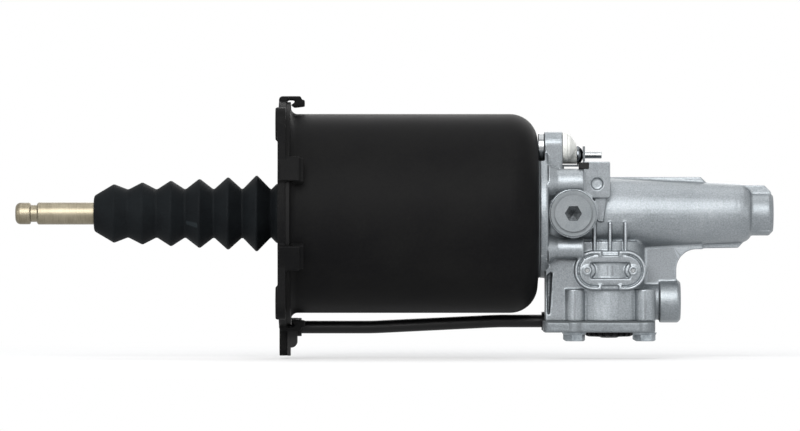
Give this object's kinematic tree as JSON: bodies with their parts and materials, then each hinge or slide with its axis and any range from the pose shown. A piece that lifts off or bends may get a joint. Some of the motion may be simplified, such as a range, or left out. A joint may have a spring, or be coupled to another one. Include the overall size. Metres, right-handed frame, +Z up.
{
  "type": "clutch servo",
  "caption": "Pneumatic clutch servo: push rod in a bellows, black drawn air cylinder with a square flange, and a die-cast valve body with hydraulic inlet and relay valve.",
  "frame": {"origin": "centre of the mounting face, on the push rod's axis", "axes": "+X from the push rod to the hydraulic inlet, along the rod's axis; +Z up, from the valve cover to the top lug; +Y away from the side of the screw plug"},
  "size_m": [0.4113, 0.1228, 0.141],
  "materials": {
    "painted_steel": "satin black stove enamel over deep-drawn steel",
    "bellows_rubber": "moulded chloroprene rubber, matte, slightly dusty",
    "seal_rubber": "moulded nitrile rubber",
    "yellow_zinc": "turned steel with yellow zinc plating",
    "bright_steel": "turned and ground steel",
    "zinc_screw": "cold-headed steel with clear zinc plating",
    "spring_steel": "coiled patented spring wire",
    "die_cast": "pressure die-cast aluminium, shot-blasted, matte",
    "turned_aluminium": "machined aluminium",
    "grey_plug": "steel with grey zinc-flake coating",
    "white_plastic": "injection-moulded polyamide, natural white",
    "dark_chrome": "dark chromed steel",
    "black_plastic": "black polyamide tube and mouldings",
    "bearing_plastic": "filled PTFE and polyamide bearing stock",
    "gasket_sheet": "compressed fibre gasket sheet"
  },
  "bodies": {
    "housing": {"cylinder_shell": "painted_steel", "front_cover": "painted_steel", "cover_seal": "seal_rubber", "bellows": "bellows_rubber", "preload_spring": "spring_steel", "valve_body": "die_cast", "body_gasket": "gasket_sheet", "body_screws": "zinc_screw", "top_stud": "zinc_screw", "stud_collar": "bright_steel", "stud_nut": "zinc_screw", "stud_cap": "white_plastic", "indicator_sleeve": "bright_steel", "indicator_bush": "white_plastic", "indicator_dome": "dark_chrome", "indicator_clip": "spring_steel", "screw_plug": "grey_plug", "plug_ring": "turned_aluminium", "drive_pins": "bright_steel", "bush_circlip": "spring_steel", "guide_bush": "bearing_plastic", "plunger_seal": "seal_rubber", "valve_seat": "turned_aluminium", "valve_guide": "turned_aluminium", "control_spring": "spring_steel", "inlet_spring": "spring_steel", "cover_gasket": "gasket_sheet", "valve_cover": "die_cast", "cover_screws": "zinc_screw", "exhaust_flap": "seal_rubber", "pipe_elbow": "black_plastic", "air_pipe": "black_plastic", "pipe_grommets": "seal_rubber"},
    "piston": {"air_piston": "turned_aluminium", "piston_lip_seal": "seal_rubber", "piston_guide_ring": "bearing_plastic", "plunger": "bright_steel", "piston_nut": "bright_steel", "rod_sleeve": "bearing_plastic", "push_rod": "yellow_zinc"},
    "control_piston": {"control_piston": "turned_aluminium", "control_seal": "seal_rubber"},
    "inlet_valve": {"inlet_valve": "seal_rubber"},
    "indicator_pin": {"indicator_pin": "bright_steel"}
  },
  "joints": [
    {"name": "piston_slide", "type": "slide", "parent": "housing", "child": "piston", "axis": [1, 0, 0], "range_m": [0, 0.055], "stiffness_N_per_m": 1000, "springref_m": -0.04, "deforming": ["bellows", "preload_spring"]},
    {"name": "control_slide", "type": "slide", "parent": "housing", "child": "control_piston", "axis": [0, 0, -1], "range_m": [0, 0.002], "stiffness_N_per_m": 500, "springref_m": -0.004, "deforming": ["control_spring"]},
    {"name": "inlet_slide", "type": "slide", "parent": "housing", "child": "inlet_valve", "axis": [0, 0, -1], "range_m": [0, 0.0011], "stiffness_N_per_m": 800, "springref_m": -0.003, "deforming": ["inlet_spring"]},
    {"name": "indicator_slide", "type": "slide", "parent": "housing", "child": "indicator_pin", "axis": [1, 0, 0], "range_m": [0, 0.012]}
  ],
  "couplings": [
    {"joint": "inlet_slide", "follows": "control_slide", "ratio": 0.55}
  ]
}
